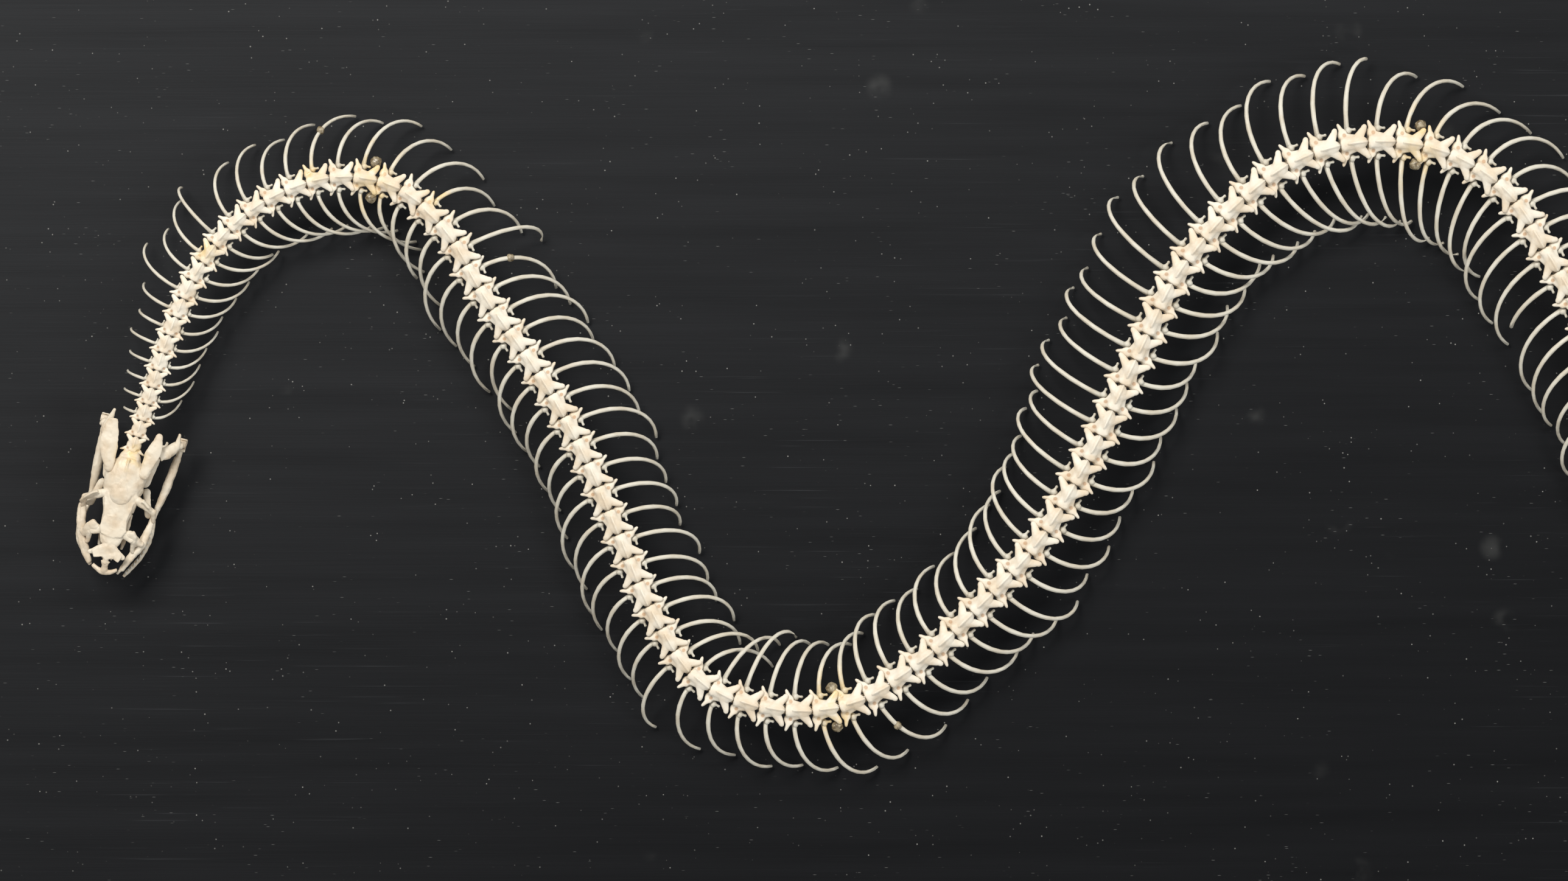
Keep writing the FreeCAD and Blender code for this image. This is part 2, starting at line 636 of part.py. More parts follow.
JAW_HINGE_RIGHT = (-7.0, -8.2, -4.5)


def jaw_hinge(middle, quadrate, mandible):
    """The quadrate's roller, and the mandible's half-open cup under it."""
    centre = Vec(*middle)
    start = centre - Vec(0, hinge_half_width, 0)
    roller = Part.makeCylinder(hinge_radius, 2 * hinge_half_width, start, Vec(0, 1, 0))
    cup = Part.makeBox(hinge_cup_length, 2 * hinge_half_width, hinge_cup_height,
                       centre - Vec(hinge_cup_behind, hinge_half_width, hinge_cup_below))
    space = Part.makeCylinder(hinge_radius + hinge_clearance, 3 * hinge_half_width,
                              start - Vec(0, hinge_half_width / 2, 0), Vec(0, 1, 0))
    return quadrate.fuse(roller), mandible.fuse(cup).cut(space)


def skull_side(stations, name, hinge):
    """All the bones and teeth of one side, by node name."""
    parts = {f"{bone_name}_{name}": bone(shape) for bone_name, shape in stations.items()}
    quadrate, mandible = jaw_hinge(
        hinge, parts[f"quadrate_{name}"], parts[f"mandible_{name}"])
    parts[f"quadrate_{name}"] = quadrate
    parts[f"mandible_{name}"] = mandible
    rows = (("maxilla", 11, 0.08, 0.9, -1), ("dentary", 12, 0.12, 0.92, 1),
            ("palatine", 8, 0.08, 0.94, -1))
    for host, count, first, last, direction in rows:
        parts[f"{host}_teeth_{name}"] = teeth(
            stations[host], count, first, last, direction)
    return parts


def make_skull():
    parts = {
        "braincase": make_braincase(), "frontal_bones": make_frontals(),
        "nasal_bones": make_nasals(), "premaxilla": make_premaxilla(),
        "vomers": make_vomers(), "parasphenoid_rostrum": make_rostrum(),
    }
    parts.update(skull_side(SKULL_LEFT, "left", JAW_HINGE_LEFT))
    parts.update(skull_side(SKULL_RIGHT, "right", JAW_HINGE_RIGHT))
    turn = FreeCAD.Rotation(Vec(0, 0, 1), neck_heading + 180 + skull_turn)
    place = FreeCAD.Placement(Vec(occiput_x, occiput_y, canal_height), turn)
    return {name: placed(shape, skull_scale, place) for name, shape in parts.items()}


# ---- Board ----

def make_board(posts):
    board = Part.makeBox(board_length, board_width, board_thickness,
                         Vec(-board_length / 2, -board_width / 2, 0))
    edges = [edge for edge in board.Edges if edge.BoundBox.ZMin > board_thickness / 2
             or edge.BoundBox.ZLength > board_thickness / 2]
    board = board.makeFillet(board_edge_round, edges)
    holes = []
    for x_side in (-1, 1):
        for y_side in (-1, 1):
            middle = Vec(x_side * (board_length / 2 - screw_inset),
                         y_side * (board_width / 2 - screw_inset), -1)
            holes.append(Part.makeCylinder(screw_hole_diameter / 2, board_thickness + 2, middle))
    for post in posts:
        foot = post.BoundBox
        middle = Vec(foot.Center.x, foot.Center.y, foot.ZMin)
        holes.append(Part.makeCylinder(post_diameter / 2 + post_hole_clearance,
                                       board_thickness, middle))
    return board.cut(holes)


def make_skull_post():
    """A post under the braincase, held by its own dab of glue."""
    heading = math.radians(neck_heading + 180 + skull_turn)
    back = skull_post_from_occiput * skull_scale
    foot = Vec(occiput_x + back * math.cos(heading), occiput_y + back * math.sin(heading),
               board_top - post_hole_depth)
    top = canal_height - skull_post_below_canal * skull_scale
    post = Part.makeCylinder(post_diameter / 2, top - foot.z, foot)
    return post, Part.makeSphere(glue_radius, Vec(foot.x, foot.y, top - glue_below_post_top))


def section_of(index):
    """The trunk section a vertebra belongs to: the sections meet at the post stations."""
    distance = PLACES[index][0]
    return 1 + sum(1 for station in post_stations[:-1] if distance > station + 1)


def main():
    parts = make_skull()
    master = master_vertebra()
    vertebrae = [placed(master, scale, vertebra_placement(distance)) for distance, scale in PLACES]
    trunk_end = min(i for i, place in enumerate(PLACES) if place[0] > tail_starts)
    groups = {"atlas": vertebrae[:1], "axis": vertebrae[1:2],
              "neck_vertebrae": vertebrae[2:neck_ends]}
    ribs = {}
    for index in range(first_rib, trunk_end):
        part = section_of(index)
        if index >= neck_ends:
            groups.setdefault(f"trunk_vertebrae_{part}", []).append(vertebrae[index])
        for side, name in ((LEFT, "left"), (RIGHT, "right")):
            ribs[side, index] = make_rib(side, index)
            groups.setdefault(f"ribs_{name}_{part}", []).append(ribs[side, index])
    tail_middle = (trunk_end + len(PLACES)) // 2
    groups["tail_vertebrae_front"] = vertebrae[trunk_end:tail_middle]
    groups["tail_vertebrae_tip"] = vertebrae[tail_middle:]

    posts, glue = [], []
    for station in post_stations:
        index = nearest_vertebra(station)
        for side in (LEFT, RIGHT):
            post, dab = post_and_glue(index, side)
            posts.append(post)
            glue.append(dab)
    post, dab = make_skull_post()
    posts.append(post)
    glue.append(dab)
    for side, index, share in glued_ribs:
        point = rib_curve(side, index, share)[0]
        middle = vertebra_placement(PLACES[index][0]).multVec(point)
        glue.append(Part.makeSphere(rib_glue_radius, middle + Vec(0, 0, rib_glue_above)))
    groups["support_posts"] = posts
    groups["glue_dabs"] = glue
    for name, solids in groups.items():
        parts[name] = Part.makeCompound(solids)
    parts["spine_wire"] = make_wire()
    parts["display_board"] = make_board(posts)

    os.makedirs("parts", exist_ok=True)
    for name, shape in parts.items():
        shape.exportStep(f"parts/{name}.step")
    print(len(parts), "nodes,", len(vertebrae), "vertebrae,", len(ribs), "ribs")


main()
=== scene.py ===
"""A snake's skeleton on a black painted board: the bones, glue, wire, posts and paint."""
import json
import math

import bmesh
import bpy
import numpy as np
from mathutils import Matrix, Vector


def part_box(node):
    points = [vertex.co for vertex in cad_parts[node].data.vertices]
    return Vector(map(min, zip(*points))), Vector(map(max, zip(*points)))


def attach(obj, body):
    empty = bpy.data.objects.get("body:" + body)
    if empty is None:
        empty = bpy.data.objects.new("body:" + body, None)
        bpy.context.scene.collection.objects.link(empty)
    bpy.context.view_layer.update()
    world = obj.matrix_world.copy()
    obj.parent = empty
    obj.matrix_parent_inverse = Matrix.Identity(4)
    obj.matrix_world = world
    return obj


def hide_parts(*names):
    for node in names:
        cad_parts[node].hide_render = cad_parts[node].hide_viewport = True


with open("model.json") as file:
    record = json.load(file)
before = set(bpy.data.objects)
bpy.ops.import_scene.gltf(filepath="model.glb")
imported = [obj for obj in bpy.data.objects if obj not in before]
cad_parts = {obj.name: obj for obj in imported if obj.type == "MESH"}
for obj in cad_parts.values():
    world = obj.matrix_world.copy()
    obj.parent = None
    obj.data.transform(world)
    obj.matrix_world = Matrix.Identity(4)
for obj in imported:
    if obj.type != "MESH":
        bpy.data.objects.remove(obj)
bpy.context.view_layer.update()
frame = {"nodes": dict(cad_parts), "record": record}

MM = 0.001
BODY = "mounted_skeleton"
VERTEBRA_NODES = (["atlas", "axis", "neck_vertebrae"]
                  + [f"trunk_vertebrae_{part}" for part in range(1, 7)]
                  + ["tail_vertebrae_front", "tail_vertebrae_tip"])
RIB_NODES = [f"ribs_{side}_{part}" for side in ("left", "right") for part in range(1, 7)]
TEETH_NODES = [f"{bone}_teeth_{side}" for side in ("left", "right")
               for bone in ("maxilla", "palatine", "dentary")]
SIDE_BONES = ["prefrontal", "postorbital", "maxilla", "ectopterygoid", "pterygoid", "palatine",
              "supratemporal", "quadrate", "mandible", "dentary"]
SKULL_NODES = (["braincase", "frontal_bones", "nasal_bones", "premaxilla", "vomers",
                "parasphenoid_rostrum"]
               + [f"{bone}_{side}" for side in ("left", "right") for bone in SIDE_BONES])

# The two shapes of vertebra: the stout one is in the neck and at the front of the trunk
STOUT_NODES = ("atlas", "axis", "neck_vertebrae")
FIRST_TRUNK_NODE = "trunk_vertebrae_1"
stout_in_trunk = 5
slender_waist = 1.6
stout_waist = 3.0
canal_radius = 0.92
vertebra_width = 10.2

# How built-up shapes are grown together, and how many faces they keep
vertebra_voxel = 0.17
vertebra_faces = 620
knob_voxel = 0.13
knob_faces = 110
rib_kept_share = 0.45
skull_voxel = 0.13 * MM
skull_kept_share = 0.4
skull_lumps = 1.5 * MM
skull_unevenness = 0.35 * MM
glue_voxel = 0.14 * MM
glue_kept_share = 0.3
glue_wrinkles = 1.1 * MM
glue_sag = 0.5 * MM
weld_distance = 2e-6
taper_sides = 20

# Where a rib's knob sits, and how its root is found
rib_knob_out = 0.65 * MM
rib_root_depth = 0.5 * MM
seats_tried = 6

# Where a vertebra's pits, darkened brown with painted shade, lie behind its front wings, in millimetres,
# and the span of its map
pit_from_middle = -1.85
pit_from_midline = 2.15
pit_radius = 0.5
LAYOUT_SPAN = 12.0

# How far glue has soaked in around a bead, and the places where glue was only brushed on: how far
# they are from the occiput along the board and across it, and their reach, in millimetres
stain_reach = 6.5 * MM
BRUSHED_SPOTS = ((17, 47.5, 3.5), (41, 65.5, 4), (71, 60, 4.5), (0.2, 0.5, 4.8))
bead_below_canal = 2 * MM

# Where the occiput lies: in from the board's end, across the board, and above its top
occiput_in = 42.4 * MM
occiput_across = -6.93 * MM
canal_above_board = 13 * MM

# The camera looks straight down beside the head
shown_width = 360.6 * MM
camera_above_canal = 1.6
camera_past_occiput = Vector((150.3, 3.6, 0)) * MM

# The floor, and the lights: each one's place, size, watts and colour
floor_size = 12
floor_drop = 0.2 * MM
world_strength = 0.25
LIGHTS = {
    "key": ((-0.9, 0.9, 1.5), (0.9, 0.7), 30, (1.0, 0.98, 0.95)),
    "fill": ((1.1, -0.7, 1.3), (0.9, 0.9), 15, (0.95, 0.98, 1.0)),
    "top": ((0.3, 1.3, 1.4), (1.2, 0.6), 11, (1.0, 1.0, 1.0)),
}


# ---- Shader maths ----

class Signal:
    """A shader socket that sums and products can be written with."""

    def __init__(self, finish, socket):
        self.finish = finish
        self.socket = socket

    def maths(self, operation, *values):
        return self.finish.node("ShaderNodeMath", {"operation": operation}, *values)

    def __add__(self, other):
        return self.maths("ADD", self, other)

    def __radd__(self, other):
        return self.maths("ADD", other, self)

    def __sub__(self, other):
        return self.maths("SUBTRACT", self, other)

    def __rsub__(self, other):
        return self.maths("SUBTRACT", other, self)

    def __mul__(self, other):
        return self.maths("MULTIPLY", self, other)

    def __rmul__(self, other):
        return self.maths("MULTIPLY", other, self)

    def __truediv__(self, other):
        return self.maths("DIVIDE", self, other)

    def __rtruediv__(self, other):
        return self.maths("DIVIDE", other, self)

    def above(self, low, high):
        """0 up to low, 1 from high, and smooth between."""
        return self.finish.node("ShaderNodeMapRange", {"interpolation_type": "SMOOTHSTEP"},
                                Value=self, **{"From Min": low, "From Max": high})


class Finish:
    """One material, with its shader and the nodes that feed it."""

    def __init__(self, name, **uniform):
        self.material = bpy.data.materials.new(name)
        self.material.use_nodes = True
        self.nodes = self.material.node_tree.nodes
        self.links = self.material.node_tree.links
        self.shader = self.nodes["Principled BSDF"]
        for socket, value in uniform.items():
            self.shader.inputs[socket.replace("_", " ")].default_value = value

    def put(self, value, socket):
        """Links a signal to a socket, or sets a plain value on it."""
        if isinstance(value, Signal):
            self.links.new(value.socket, socket)
        else:
            socket.default_value = value

    def node(self, kind, settings=None, *values, **named):
        """Any node: its settings first, then its sockets' values or links.

        Gives the output that the settings name, or else the first live one.
        """
        node = self.nodes.new(kind)
        for setting, value in (settings or {}).items():
            if setting != "output":
                setattr(node, setting, value)
        live = [socket for socket in node.inputs if socket.enabled]
        for socket, value in zip(live, values):
            self.put(value, socket)
        for name, value in named.items():
            self.put(value, next(socket for socket in live if socket.name == name))
        outputs = [socket for socket in node.outputs if socket.enabled]
        wanted = (settings or {}).get("output")
        return Signal(self, next((s for s in outputs if s.name == wanted), outputs[0]))

    def place(self, scale=(1, 1, 1)):
        """The object's own coordinates, stretched."""
        coordinates = self.node("ShaderNodeTexCoord", {"output": "Object"})
        return self.node("ShaderNodeMapping", None, Vector=coordinates, Scale=scale)

    def noise(self, scale, detail=3.0, rough=0.5, stretch=(1, 1, 1)):
        return self.node("ShaderNodeTexNoise", None, Vector=self.place(stretch), Scale=scale,
                         Detail=detail, Roughness=rough)

    def cells(self, scale, stretch=(1, 1, 1)):
        """How far each place is from the nearest of many scattered points."""
        return self.node("ShaderNodeTexVoronoi", {"output": "Distance"}, Vector=self.place(stretch),
                         Scale=scale)

    def split(self, vector):
        """The first two parts of a vector."""
        parts = self.node("ShaderNodeSeparateXYZ", None, vector).socket.node.outputs
        return Signal(self, parts["X"]), Signal(self, parts["Y"])

    def painted(self, name):
        """A share that was painted on the mesh."""
        return self.node("ShaderNodeAttribute", {"attribute_name": name, "output": "Fac"})

    def blend(self, share, low, high):
        """From one colour to another."""
        low, high = [c if isinstance(c, Signal) else (*c, 1) for c in (low, high)]
        return self.node("ShaderNodeMix", {"data_type": "RGBA"}, share, low, high)

    def feed(self, socket, value):
        """Puts a signal or a value into the shader."""
        self.put(value, self.shader.inputs[socket])

    def bump(self, height, strength, distance):
        normal = self.node("ShaderNodeBump", None, Strength=strength, Distance=distance,
                           Height=height)
        self.feed("Normal", normal)


def shaded_pits(finish):
    """The two pits behind a vertebra's front wings, from its own map; painted shade darkens them brown.
    """
    along, across = finish.split(finish.node("ShaderNodeUVMap", {"uv_map": "layout"}))
    along = (along - 0.5) * LAYOUT_SPAN - pit_from_middle
    across = across * LAYOUT_SPAN - pit_from_midline
    squares = along * along + across * across
    away = squares.maths("SQRT", squares)
    return 1 - away.above(pit_radius * 0.55, pit_radius * 1.25)


def bone_finish(name, pale, warm, deep, roughness, pitted=False):
    """Dry bone: cream with warmer patches, fine grain, painted shade on its lower parts and in its pits,
    and amber where glue soaked in.
    """
    finish = Finish(name, IOR=1.5, Specular_IOR_Level=0.35)
    patches = finish.noise(260, 4).above(0.35, 0.7)
    grain = finish.noise(2600, 4, 0.65)
    pores = finish.cells(1500)
    colour = finish.blend(patches, pale, warm)
    colour = finish.blend((1 - pores.above(0.0, 0.28)) * 0.3 * patches, colour, deep)
    # Painted shade: the bone darkened on its lower parts, by the share painted on the mesh
    colour = finish.blend(finish.painted("painted_shade") * (0.45 + 0.4 * grain), colour, deep)
    height = grain + 0.5 * patches + 0.6 * pores
    if pitted:
        pits = shaded_pits(finish)
        # Painted shade: the pits darkened brown, and sunk by the bump below
        colour = finish.blend(pits * 0.75, colour, (0.50, 0.29, 0.15))
        height = height - 2.5 * pits
    glue = finish.painted("stain") * finish.noise(420, 3).above(0.3, 0.62)
    colour = finish.blend(glue * 0.9, colour, (0.78, 0.58, 0.28))
    finish.feed("Base Color", colour)
    finish.feed("Roughness", roughness + 0.14 * (grain - 0.5) - 0.3 * glue)
    finish.bump(height, 0.35, 0.00006)
    return finish.material


def paint_finish():
    """Black paint brushed along the board, with hairline streaks, dashes, dust and pale smudges.

    A painted sheen makes it lighter towards one corner, at the head's end.
    """
    finish = Finish("black_paint", IOR=1.45, Specular_IOR_Level=0.13)
    streaks = finish.noise(1.0, 3, 0.6, (22, 1700, 1))
    wide = finish.noise(1.0, 3, 0.55, (9, 160, 1))
    worn = finish.noise(16, 4).above(0.42, 0.68)
    hairline = streaks.above(0.62, 0.78) * worn
    dashes = 1 - finish.cells(1.0, (150, 1500, 1)).above(0.03, 0.085)
    dashes = dashes * finish.noise(60, 2).above(0.46, 0.6)
    dust = 1 - finish.cells(560).above(0.045, 0.12)
    dust = dust * finish.noise(170, 3).above(0.5, 0.64)
    smudge = 1 - finish.cells(34).above(0.02, 0.14)
    smudge = smudge * finish.noise(90, 3).above(0.45, 0.7)
    along, across = finish.split(finish.place())
    # Painted sheen: the paint is made lighter towards one corner, at the head's end
    painted_sheen = (across * 2.6 - along * 1.1).above(-0.35, 1.0)
    colour = finish.blend(wide, (0.002, 0.0021, 0.0026), (0.0055, 0.0058, 0.0068))
    colour = finish.blend(painted_sheen * (0.1 + 0.08 * wide), colour, (0.13, 0.134, 0.14))
    colour = finish.blend(hairline * 0.5, colour, (0.05, 0.052, 0.055))
    colour = finish.blend(smudge * 0.22, colour, (0.16, 0.16, 0.15))
    colour = finish.blend(dashes * 0.45, colour, (0.30, 0.30, 0.28))
    colour = finish.blend(dust * 0.6, colour, (0.36, 0.35, 0.32))
    finish.feed("Base Color", colour)
    finish.feed("Roughness", 0.42 + 0.14 * wide + 0.12 * hairline + 0.3 * dust)
    finish.bump(streaks + 0.6 * wide, 0.22, 0.00012)
    return finish.material


def glue_finish():
    """Old clear glue, gone yellow-brown, with dust caught in it."""
    finish = Finish("clear_glue", IOR=1.48, Coat_Weight=0.4)
    cloudy = finish.noise(900, 4).above(0.3, 0.7)
    finish.feed("Base Color", finish.blend(cloudy, (0.20, 0.135, 0.06), (0.50, 0.42, 0.28)))
    finish.feed("Roughness", 0.18 + 0.25 * cloudy)
    finish.feed("Alpha", 0.42 + 0.45 * cloudy)
    finish.bump(finish.noise(1500, 3), 0.3, 0.0001)
    return finish.material


def steel_finish(name, colour, stretch):
    """Drawn steel with a little rust."""
    finish = Finish(name, Metallic=1.0)
    drawn = finish.noise(1.0, 3, 0.6, stretch)
    rust = finish.noise(500, 4).above(0.6, 0.75)
    shade = finish.blend(drawn, [c * 0.7 for c in colour], colour)
    finish.feed("Base Color", finish.blend(rust * 0.5, shade, (0.16, 0.08, 0.04)))
    finish.feed("Roughness", 0.3 + 0.2 * drawn + 0.25 * rust)
    finish.bump(drawn, 0.15, 0.00003)
    return finish.material


def tooth_finish():
    """Smooth, slightly cloudy enamel."""
    finish = Finish("tooth_enamel", IOR=1.6, Coat_Weight=0.25)
    cloudy = finish.noise(1800, 3)
    finish.feed("Base Color", finish.blend(cloudy, (0.78, 0.72, 0.60), (0.90, 0.87, 0.80)))
    finish.feed("Roughness", 0.22 + 0.15 * cloudy)
    finish.bump(cloudy, 0.1, 0.00002)
    return finish.material


FINISHES = {
    "vertebra_bone": bone_finish("vertebra_bone", (0.82, 0.745, 0.615), (0.74, 0.61, 0.445),
                                 (0.42, 0.27, 0.15), 0.48, pitted=True),
    "rib_bone": bone_finish("rib_bone", (0.66, 0.62, 0.52), (0.57, 0.51, 0.40),
                            (0.36, 0.27, 0.18), 0.45),
    "skull_bone": bone_finish("skull_bone", (0.72, 0.635, 0.50), (0.62, 0.50, 0.355),
                              (0.44, 0.27, 0.14), 0.46),
    "black_paint": paint_finish(),
    "clear_glue": glue_finish(),
    "post_steel": steel_finish("post_steel", (0.45, 0.43, 0.40), (900, 900, 60)),
    "wire_steel": steel_finish("wire_steel", (0.55, 0.54, 0.52), (400, 400, 400)),
    "tooth_enamel": tooth_finish(),
}


# ---- Modelling helpers ----

def deselect():
    """Object mode, with nothing selected."""
    if bpy.context.object and bpy.context.object.mode != "OBJECT":
        bpy.ops.object.mode_set(mode="OBJECT")
    bpy.ops.object.select_all(action="DESELECT")


def take(*objects):
    """Selects only these objects, the last one active."""
    deselect()
    for thing in objects:
        thing.select_set(True)
    bpy.context.view_layer.objects.active = objects[-1]


def settle():
    """Works the new object's place, turn and size into its mesh."""
    bpy.ops.object.transform_apply(location=True, rotation=True, scale=True)
    return bpy.context.object


def joined(objects, name):
    """One object out of several, under one name."""
    take(*objects)
    if len(objects) > 1:
        bpy.ops.object.join()
    piece = bpy.context.object
    piece.name = name
    piece.data.name = name
    return piece


def modified(piece, kind, **settings):
    """Adds one modifier to a piece and applies it."""
    take(piece)
    modifier = piece.modifiers.new(kind.lower(), kind)
    for setting, value in settings.items():
        setattr(modifier, setting, value)
    bpy.ops.object.modifier_apply(modifier=modifier.name)
    return piece


def smooth_shaded(piece):
    take(piece)
    bpy.ops.object.shade_smooth()
    return piece


def ellipsoid(centre, radii, turn=(0, 0, 0), segments=24, rings=14):
    """A squashed ball, turned by an angle in degrees about each axis."""
    deselect()
    bpy.ops.mesh.primitive_uv_sphere_add(segments=segments, ring_count=rings, location=centre,
                                         rotation=[math.radians(a) for a in turn])
    bpy.context.object.scale = radii
    return settle()


def taper(start, end, start_radius, end_radius, flat=1.0):
    """A round taper from one point to another, flattened to a share of its height."""
    start, end = Vector(start), Vector(end)
    way = end - start
    deselect()
    bpy.ops.mesh.primitive_cone_add(vertices=taper_sides, radius1=start_radius, radius2=end_radius,
                                    depth=way.length)
    cone = bpy.context.object
    cone.matrix_world = (Matrix.Translation((start + end) / 2) @ Matrix.Diagonal((1, 1, flat, 1))
                         @ way.to_track_quat("Z", "Y").to_matrix().to_4x4())
    return settle()


def corners(mesh):
    """Every vertex of a mesh, as rows of x, y, z."""
    places = np.empty(len(mesh.vertices) * 3)
    mesh.vertices.foreach_get("co", places)
    return places.reshape(-1, 3)


def copied(thing):
    """A copy with its own mesh."""
    copy = thing.copy()
    copy.data = thing.data.copy()
    bpy.context.scene.collection.objects.link(copy)
    return copy


def merged_copy(node, name):
    """A CAD node's own shape as one clean mesh."""
    copy = copied(frame["nodes"][node])
    copy.name = name
    copy.data.name = name
    copy.parent = None
    copy.matrix_world = Matrix.Identity(4)
    body = bmesh.new()
    body.from_mesh(copy.data)
    bmesh.ops.remove_doubles(body, verts=body.verts, dist=weld_distance)
    bmesh.ops.recalc_face_normals(body, faces=body.faces)
    body.to_mesh(copy.data)
    body.free()
    copy.data.materials.clear()
    return copy


def islands(mesh):
    """The vertex numbers of each separate solid in a mesh."""
    owner = np.arange(len(mesh.vertices))
    edges = np.empty(len(mesh.edges) * 2, dtype=int)
    mesh.edges.foreach_get("vertices", edges)
    first, second = edges.reshape(-1, 2).T
    while True:
        lower = np.minimum(owner[first], owner[second])
        np.minimum.at(owner, first, lower)
        np.minimum.at(owner, second, lower)
        owner = owner[owner]
        if (owner[first] == owner[second]).all():
            break
    return [np.flatnonzero(owner == label) for label in np.unique(owner)]


def paint_attribute(mesh, name, values):
    """Stores one number at each vertex, for a finish to read."""
    layer = mesh.attributes.new(name, "FLOAT", "POINT")
    layer.data.foreach_set("value", np.asarray(values, dtype=float))


def finish_piece(piece, slot, body, nodes):
    """Gives a piece its finish and its place in the assembly."""
    piece.data.materials.clear()
    piece.data.materials.append(FINISHES[slot])
    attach(piece, body)
    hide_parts(*nodes)


# ---- The spine ----

def solids_of(node):
    """The corners of each solid in a CAD node."""
    copy = merged_copy(node, f"{node}_count")
    places = corners(copy.data)
    solids = [places[group] for group in islands(copy.data)]
    bpy.data.objects.remove(copy)
    return solids


def in_order(solids, start):
    """The solids one after another along the spine, from the one nearest to start."""
    left = [(solid, solid.mean(axis=0)) for solid in solids]
    ordered = []
    here = start
    while left:
        nearest = min(range(len(left)), key=lambda i: np.linalg.norm(left[i][1] - here))
        solid, here = left.pop(nearest)
        ordered.append((solid, here))
    return ordered


class Seat:
    """Where one vertebra sits: its box in its own heading, which turns at the neighbours' pace."""

    def __init__(self, solid, before, after):
        way = Vector(after - before)
        self.heading = way.normalized()
        self.across = Vector((0, 0, 1)).cross(self.heading).normalized()
        self.up = self.heading.cross(self.across)
        self.turn = Matrix((self.heading, self.across, self.up)).transposed()
        local = solid @ np.array(self.turn)
        self.low, self.high = local.min(axis=0), local.max(axis=0)
        self.middle = self.turn @ Vector((self.low + self.high) / 2)

    def matrix(self, low, high):
        """Brings a shape whose box is low to high onto this seat."""
        sizes = (self.high - self.low) / (high - low)
        scale = float(sizes[1])
        middle = Vector((self.low + self.high) / 2)
        lift = float(self.low[2] - low[2] * scale)
        centre = Vector(((low[0] + high[0]) / 2, (low[1] + high[1]) / 2, 0)) * scale
        place = self.turn @ Vector((middle.x - centre.x, middle.y - centre.y, lift))
        return Matrix.Translation(place) @ self.turn.to_4x4() @ Matrix.Scale(scale, 4)


def spine_seats():
    """Each vertebra node's seats, with headings taken from the neighbours along the whole spine."""
    skull_end = np.array(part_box("braincase")).mean(axis=0)
    ordered, owners, here = [], [], skull_end
    for node in VERTEBRA_NODES:
        row = in_order(solids_of(node), here)
        ordered += row
        owners += [node] * len(row)
        here = row[-1][1]
    seats = {node: [] for node in VERTEBRA_NODES}
    for index, (solid, centre) in enumerate(ordered):
        before = ordered[max(index - 1, 0)][1]
        after = ordered[min(index + 1, len(ordered) - 1)][1]
        seats[owners[index]].append(Seat(solid, before, after))
    return seats


def vertebra_side(side):
    """One side's front wing and its spike, the waist, the rear wing that laps over, and the rib seat."""
    return [
        ellipsoid((-2.25, side * 2.3, -0.5), (1.2, 1.5, 0.42), (side * 5, 0, side * -10)),
        taper((-2.25, side * 3.0, -0.5), (-2.95, side * 4.75, -0.6), 0.66, 0.4, 0.85),
        ellipsoid((-2.97, side * 4.78, -0.6), (0.36, 0.36, 0.32), segments=16, rings=10),
        taper((-1.9, side * 2.1, -0.45), (1.3, side * 1.2, 0.15), 0.6, 0.6, 0.9),
        taper((1.0, side * 0.7, 0.55), (2.95, side * 3.3, 0.3), 1.3, 0.72, 0.5),
        ellipsoid((2.95, side * 3.35, 0.3), (0.7, 0.85, 0.36), (0, 0, side * -35)),
        taper((-1.7, side * 1.0, -2.0), (-1.0, side * 2.5, -2.0), 1.0, 0.72, 0.95),
    ]


def master_vertebra(name, waist):
    """One vertebra in millimetres, +X to the tail, its centrum, arch, wings and ridge grown together."""
    lumps = [
        taper((-3.1, 0, -2.5), (2.5, 0, -2.5), 1.75, 1.35, 0.85),
        ellipsoid((2.75, 0, -2.5), (1.15, 1.15, 1.1)),
        ellipsoid((0.1, 0, -3.5), (2.1, 0.32, 0.75)),
        taper((-2.9, 0, -0.4), (2.2, 0, -0.3), 1.85, 1.8, 0.95),
        ellipsoid((-2.2, 0, 0.85), (1.0, 1.6, 0.45)),
        ellipsoid((1.2, 0, 0.95), (2.2, 1.5, 0.75)),
        ellipsoid((-0.2, 0, -0.35), (3.0, waist, 1.4)),
        ellipsoid((1.0, 0, 1.6), (2.5, 0.34, 0.55)),
    ]
    for side in (-1, 1):
        lumps += vertebra_side(side)
    bone = joined(lumps, name)
    modified(bone, "REMESH", mode="VOXEL", voxel_size=vertebra_voxel)
    modified(bone, "SMOOTH", factor=0.6, iterations=5)
    deselect()
    bpy.ops.mesh.primitive_cylinder_add(vertices=24, radius=canal_radius, depth=10,
                                        rotation=(0, math.pi / 2, 0))
    canal = settle()
    modified(bone, "BOOLEAN", object=canal, operation="DIFFERENCE")
    bpy.data.objects.remove(canal)
    modified(bone, "DECIMATE", ratio=vertebra_faces / len(bone.data.polygons))
    smooth_shaded(bone)
    lay_out(bone.data, corners(bone.data))
    x, y, z = corners(bone.data).T
    # Painted shade: the vertebra darker towards its underside
    shade_below = np.clip((-0.9 - z) / 2.5, 0, 1)
    paint_attribute(bone.data, "painted_shade", 0.3 * shade_below)
    return bone


def lay_out(mesh, places):
    """Gives a vertebra a map of its own length and half width, so that its pits stay with it."""
    layout = mesh.uv_layers.new(name="layout")
    loops = np.empty(len(mesh.loops), dtype=int)
    mesh.loops.foreach_get("vertex_index", loops)
    spread = np.stack([places[:, 0] / LAYOUT_SPAN + 0.5, np.abs(places[:, 1]) / LAYOUT_SPAN], 1)
    layout.data.foreach_set("uv", spread[loops].ravel())


def stain_at(places):
    """How much old glue has soaked in at each place."""
    worst = np.zeros(len(places))
    for centre, reach in GLUE_SPOTS:
        distance = np.linalg.norm((places - centre)[:, :2], axis=1)
        worst = np.maximum(worst, np.clip(1.25 * (1 - distance / reach), 0, 1))
    return worst


